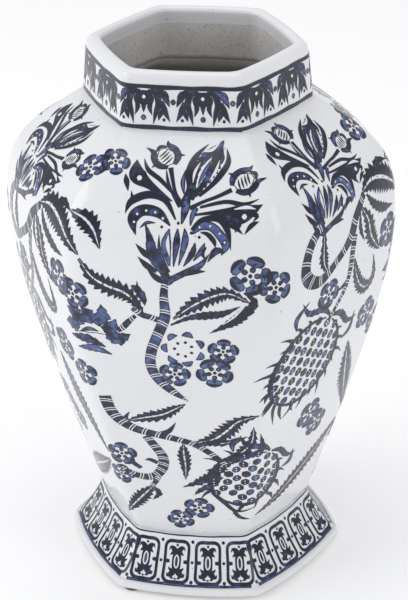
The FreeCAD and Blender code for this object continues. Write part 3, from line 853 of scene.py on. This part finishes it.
# left edge: the fan flower and the long toothed leaf from the neighbouring face
fan(front, -43.4, 148.6, 8, 1.28)
stem(front, ((-29.4, 153.4), (-26.4, 156), (-23.2, 160), (-19.4, 164)), (1.2, 1.7, 1.6, 1.0), 2)
leaf(front, ((-48, 193.6), (-41.6, 184.6), (-33.6, 180.2), (-25, 177.4), (-19, 172), (-14.6, 163.4)), 6.4,
     0.15, 0.5, 7)
front.stroke(((-20.6, 174.4), (-18.2, 171), (-15.4, 167.6)), (0.3, 1.6, 0.2), 0.2)
front.stroke(((-21, 181.6), (-18, 180), (-15, 175), (-14.2, 170.4)), (0.4, 2.4, 2.2, 0.1), 0.2, 0.3)
front.stroke(((-17.6, 179), (-17.8, 184.6)), (1.2, 0.1), 0.2)
wrap("front_print", front, body_skin, (0, 2, 4), cobalt)

# The second design has a looped stalk under the spray, long drooping leaves and a pineapple.
flanks = Design()
bouquet(flanks, -3.5, 231.7, 13.5, 0.86)
stem(flanks, ((-19, 205), (-24.8, 202), (-30, 197.4), (-33.4, 191), (-34.6, 183.4), (-31, 177.4),
                  (-23.6, 174.6), (-16.6, 177), (-10, 181), (-3, 185.4), (3.4, 191.4), (8, 199.4),
                  (17.6, 208.4)),
     (1.4, 2.4, 2.8, 3.1, 3.6, 3.9, 3.3, 2.7, 2.3, 2.5, 3.0, 2.8, 2.0), 13, 0.2)
leaf(flanks, ((-17.6, 178), (-20.4, 184), (-20.6, 191), (-19.2, 203)), 4.2, 0.1, 0.45)
leaf(flanks, ((13, 203), (19.4, 193.4), (22, 184), (27, 177), (33, 170.6)), 6.4, 0.15, 0.5, 5)
flanks.stroke(((12, 200), (11.6, 191), (15.6, 182.6)), (0.6, 1.9, 0.1), 0.2, 0.4)
stem(flanks, ((6, 190), (4, 180), (2.8, 170), (0, 160.6), (-6, 152.6), (-12.8, 143.8)),
     (2.4, 2.2, 2.0, 1.7, 1.5, 1.4), 11, 0.2)
leaf(flanks, ((6.6, 176), (9.6, 166), (15.4, 156.6), (23.6, 151.6), (29.6, 156.4), (26.4, 170.6)), 5.0,
     0.25, 0.4, 9)
flanks.stroke(((2, 166), (-2, 163.4), (-7.6, 162)), (1.0, 1.3, 0.1), 0.2)
leaf(flanks, ((17, 209.6), (27, 212.4), (38, 210), (48, 204), (58, 195.6)), 9.6, 0.12, 0.4, 6)
flanks.stroke(((30, 213), (38, 218.4), (47.4, 216.4)), (0.6, 2.6, 0.1), 0.2, 0.3)
flanks.stroke(((20, 207), (26, 199.6), (36, 193.6), (47, 191.4)), (0.8, 3.0, 3.2, 0.2), 0.1, 0.4)
leaf(flanks, ((47, 217), (56, 215), (64, 209), (69, 200)), 5.4, 0.1, 0.4)
for x, y, radius, turn in (
    (38.2, 240.4, 8.8, 10), (41.6, 178, 9.8, 20), (53.6, 172.6, 8.8, 50), (-14.6, 163.4, 8.6, 30),
    (30, 131.5, 9.6, 10), (-6.4, 80.2, 9.6, 30), (4.4, 68.4, 8.8, 0),
):
    blossom(flanks, x, y, radius, turn)
seed_head(flanks, -23.4, 124.2, 29, 53, 49, 9)
for spine in (((-42, 113), (-45, 104), (-47.4, 97)), ((-40, 108), (-41.6, 100), (-38.6, 88.6)),
              ((-37, 103), (-36, 96), (-32.8, 89.4)), ((-43.4, 118), (-48, 112), (-48.6, 106.4)),
              ((-27, 100.6), (-27.4, 96), (-25, 92))):
    flanks.stroke(spine, (1.5, 1.2, 0.08), 0.2)
leaf(flanks, ((34, 54), (22, 45), (10, 37), (-2, 29), (-14, 20.6), (-27.4, 14.6)), 8.2, 0.15, 0.5, 9)
leaf(flanks, ((16, 119), (20, 104), (25, 90), (31, 76), (37, 61)), 8.0, 0.25, 0.5, 7)
wrap("side_print", flanks, body_skin, (1, 3, 5), cobalt)

# -------- collar print
# Round the collar, between a broad line under the rim and another above the shoulder, runs a row of
# hanging palmettes with a spot between each pair.
PALMETTES_PER_SIDE = 2
COLLAR_PRINT_SHIFT = -4.3
PRINT_RINGS = 24
PALMETTE_LEVEL, SPOT_LEVEL = 14.6, 15.6
SMALL_SPOT_LEVEL, SMALL_SPOT_SPREAD = 6.2, 4.6
UPPER_LINE, LOWER_LINE, BROAD = 23.1, 2.0, 1.15


def palmette(design, x, y):
    """One hanging palmette: a domed heart with a white eye, fringed, and with leaves down its sides."""
    pen = design.at(x, y)
    pen.stroke(((0, 6.6), (0, 3), (0, -1.4)), (2.2, 5.2, 4.2))
    pen.dot(0, 3.2, 0.95, BLANK, 1)
    pen.dot(0, -7.6, 1.5, BLUE)
    pen.stroke(((0, 0), (0, -2.6), (0, -5)), (1.4, 1.0, 0.1), 0.2)
    for flip in (1, -1):
        pen = design.at(x, y, flip=flip)
        pen.stroke(((3, 0), (3.2, -3), (4.4, -6.4)), (1.5, 1.1, 0.1), 0.15)
        pen.gap(((1.5, -1), (1.8, -1.4)), (0.5, 0.1))
        pen.stroke(((2, 6.6), (6, 5), (7.6, 0), (6.2, -5), (5, -11)), (0.6, 1.5, 1.7, 1.2, 0.1), 0.15)
        pen.stroke(((3.6, 7.4), (8.6, 6), (11.4, 2.4), (13.2, -1.6)), (0.5, 1.6, 1.6, 0.1), 0.25)
        pen.stroke(((7.6, 6.6), (10.8, 5.8), (13, 3.4)), (0.3, 1.0, 0.1), BLUE)
        pen.stroke(((9.6, 1.4), (10.4, -3), (13.4, -9.4)), (0.5, 1.7, 0.1), 0.15)
        pen.stroke(((10, -3), (8.4, -6), (7.6, -8.8)), (1.0, 1.2, 0.1), 0.2)
        pen.stroke(((11.4, -4), (11, -7)), (0.6, 0.1), BLUE, layer=1)


def line_round(design, level, half_width, reach, tone=0.0, shake=0.12):
    """A painted line across one side, a little uneven as a brush leaves it."""
    spine = [(reach * (n / 5 - 1), level + shake * math.sin(2.1 * n + level)) for n in range(11)]
    widths = [half_width * (1 + shake * math.sin(1.7 * n + 2 * level)) for n in range(11)]
    design.stroke(spine, widths, tone)


collar_skin = Skin([collar_ring(blend(seat_z, rim_z, n / PRINT_RINGS)) for n in range(PRINT_RINGS + 1)], 1.0)
pitch = 2 * collar_skin.usual / PALMETTES_PER_SIDE
collar_art = Design()
for n in range(PALMETTES_PER_SIDE):
    middle = pitch * (n - (PALMETTES_PER_SIDE - 1) / 2) + COLLAR_PRINT_SHIFT
    palmette(collar_art, middle, PALMETTE_LEVEL)
    collar_art.dot(middle + pitch / 2, SPOT_LEVEL, 1.5, BLUE)
    for spread in (-SMALL_SPOT_SPREAD, SMALL_SPOT_SPREAD):
        collar_art.dot(middle + pitch / 2 + spread, SMALL_SPOT_LEVEL, 0.9)
line_round(collar_art, UPPER_LINE, BROAD, collar_skin.usual)
line_round(collar_art, LOWER_LINE, BROAD, collar_skin.usual, 0.1)
wrap("collar_print", collar_art, collar_skin, range(SIDES), cobalt)

# -------- foot print
# Each side of the foot carries four upright panels, each a rounded frame round a baluster ornament.
# Spots and bars join them, with a thin line above and a blue one along the lip below.
PANELS_PER_SIDE = 4
PANEL_PITCH, PANEL_REACH, PANEL_RISE = 17.6, 6.7, 11.4
PANEL_MIDDLE = 0.465
PANEL_CORNER = 0.62
FOOT_PRINT_SHIFT = 1.5
THIN_LINE, THIN, LIP_LINE, LIP_LINE_WIDTH = 28.7, 0.42, 0.8, 0.8


def panel(design, x, y):
    """One upright frame with its ornament."""
    outline = [(0, -1), (PANEL_CORNER, -1), (0.95, -0.84), (1, -PANEL_CORNER), (0.98, 0), (1, PANEL_CORNER),
               (0.93, 0.86), (PANEL_CORNER, 1), (0, 1)]
    for flip in (1, -1):
        pen = design.at(x, y, flip=flip)
        pen.stroke([(PANEL_REACH * a, PANEL_RISE * b) for a, b in outline],
                   (1.0, 1.0, 0.9, 0.8, 0.8, 0.8, 0.9, 1.0, 1.0), 0.2)
        pen.stroke(((0.6, 4.2), (1.6, 6.6), (3.4, 8), (4.6, 6.2)), (1.3, 1.6, 0.9, 0.1))
        pen.stroke(((0.8, 5.2), (2.6, 4.6), (3.8, 3.4)), (0.9, 0.9, 0.1))
        pen.stroke(((0.6, -4.2), (2, -6.6), (4, -8), (4.8, -6.4)), (1.4, 1.7, 1.0, 0.1), 0.15)
        pen.stroke(((0.8, -5), (3, -4.8), (4.2, -3.2)), (0.9, 0.9, 0.1))
        pen.stroke(((1, -9.4), (2.2, -9), (2.6, -7.6)), (0.3, 0.7, 0.2))
        pen.stroke(((PANEL_REACH - 2.8, 0), (PANEL_REACH + 0.4, 0)), (0.9, 1.3), 0.2)
    pen = design.at(x, y)
    pen.stroke(((0, 6.6), (0, 3), (0, 0), (0, -3), (0, -6.6)), (1.6, 2.4, 2.5, 2.4, 1.6))
    pen.gap(((0, 3.8), (0, 2), (0, -2), (0, -3.8)), (0.4, 1.4, 1.4, 0.4))
    pen.stroke(((0, 2.9), (0, 1.4), (0, -1.4), (0, -2.9)), (0.2, 0.7, 0.7, 0.2), BLUE, layer=2)
    pen.dot(0, 9.2, 0.75)
    pen.dot(0, -9.6, 0.6)


skirt_skin = Skin(skirt_rings, 0.5)
middle_level = skirt_skin.heights[-1] * PANEL_MIDDLE
foot_art = Design()
for n in range(PANELS_PER_SIDE):
    middle = PANEL_PITCH * (n - (PANELS_PER_SIDE - 1) / 2) + FOOT_PRINT_SHIFT
    panel(foot_art, middle, middle_level)
    for level, radius in ((25.2, 1.0), (middle_level, 0.9), (2.6, 1.0)):
        foot_art.dot(middle - PANEL_PITCH / 2, level, radius, 0.2)
foot_art.dot(middle + PANEL_PITCH / 2, middle_level, 0.9, 0.2)
line_round(foot_art, THIN_LINE, THIN, skirt_skin.usual, shake=0.1)
line_round(foot_art, LIP_LINE, LIP_LINE_WIDTH, skirt_skin.usual, BLUE)
wrap("foot_print", foot_art, skirt_skin, range(SIDES), cobalt)

# -------- floor and pads
# The recessed floor is bare clay. Three round felt pads are stuck under the foot ring, their edges
# frayed a little and their faces matted.
base_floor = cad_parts["base_floor"]
bare_clay, tree, shader = material("bare_clay_floor")
clay = ramp(
    tree, noise(tree, CLAY_PATCHES, 6),
    (0.30, (0.36, 0.335, 0.31)), (0.52, (0.46, 0.435, 0.40)), (0.72, (0.53, 0.50, 0.46)),
)
tree.links.new(clay, shader.inputs["Base Color"])
shader.inputs["Roughness"].default_value = 0.88
bump(tree, shader, noise(tree, CLAY_GRAIN), CLAY_RELIEF, 0.5)
base_floor.data.materials.clear()
base_floor.data.materials.append(bare_clay)

FELT_BEVEL, FUZZ = 0.5, 0.12
FIBRES, NAP, NAP_RELIEF = 1500, 2200, 0.0004
PAD_SIDES, BEVEL_STEPS = 72, 4
felt, tree, shader = material("pad_felt")
fibres = ramp(
    tree, noise(tree, FIBRES, 4), (0.32, (0.018, 0.018, 0.020)), (0.70, (0.065, 0.063, 0.062))
)
tree.links.new(fibres, shader.inputs["Base Color"])
shader.inputs["Roughness"].default_value = 0.95
shader.inputs["Sheen Weight"].default_value = 0.5
bump(tree, shader, noise(tree, NAP), NAP_RELIEF, 0.9)
for name in ("foot_pad_front_left", "foot_pad_right", "foot_pad_back_left"):
    low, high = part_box(name)
    radius, height = (high.x - low.x) / 2, high.z - low.z
    bm = bmesh.new()
    bmesh.ops.create_cone(bm, cap_ends=True, segments=PAD_SIDES, radius1=radius, radius2=radius,
                          depth=height)
    rims = [edge for edge in bm.edges if edge.verts[0].co.z * edge.verts[1].co.z > 0 and edge.is_manifold
            and abs(edge.calc_face_angle(0)) > 1]
    bmesh.ops.bevel(bm, geom=rims, offset=FELT_BEVEL * MM, segments=BEVEL_STEPS, profile=0.5,
                    affect="EDGES", material=-1)
    for vert in bm.verts:
        around = math.atan2(vert.co.y, vert.co.x)
        fray = 1 - FUZZ * MM / radius * (1 + math.sin(13 * around) * math.cos(29 * around))
        vert.co.x, vert.co.y = vert.co.x * fray, vert.co.y * fray
    bmesh.ops.translate(bm, verts=bm.verts, vec=(low + high) / 2)
    for face in bm.faces:
        face.smooth = len(face.verts) == 4
    pad = make(name + "_felt", bm, felt)
    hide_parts(name)
    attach(pad, "root")
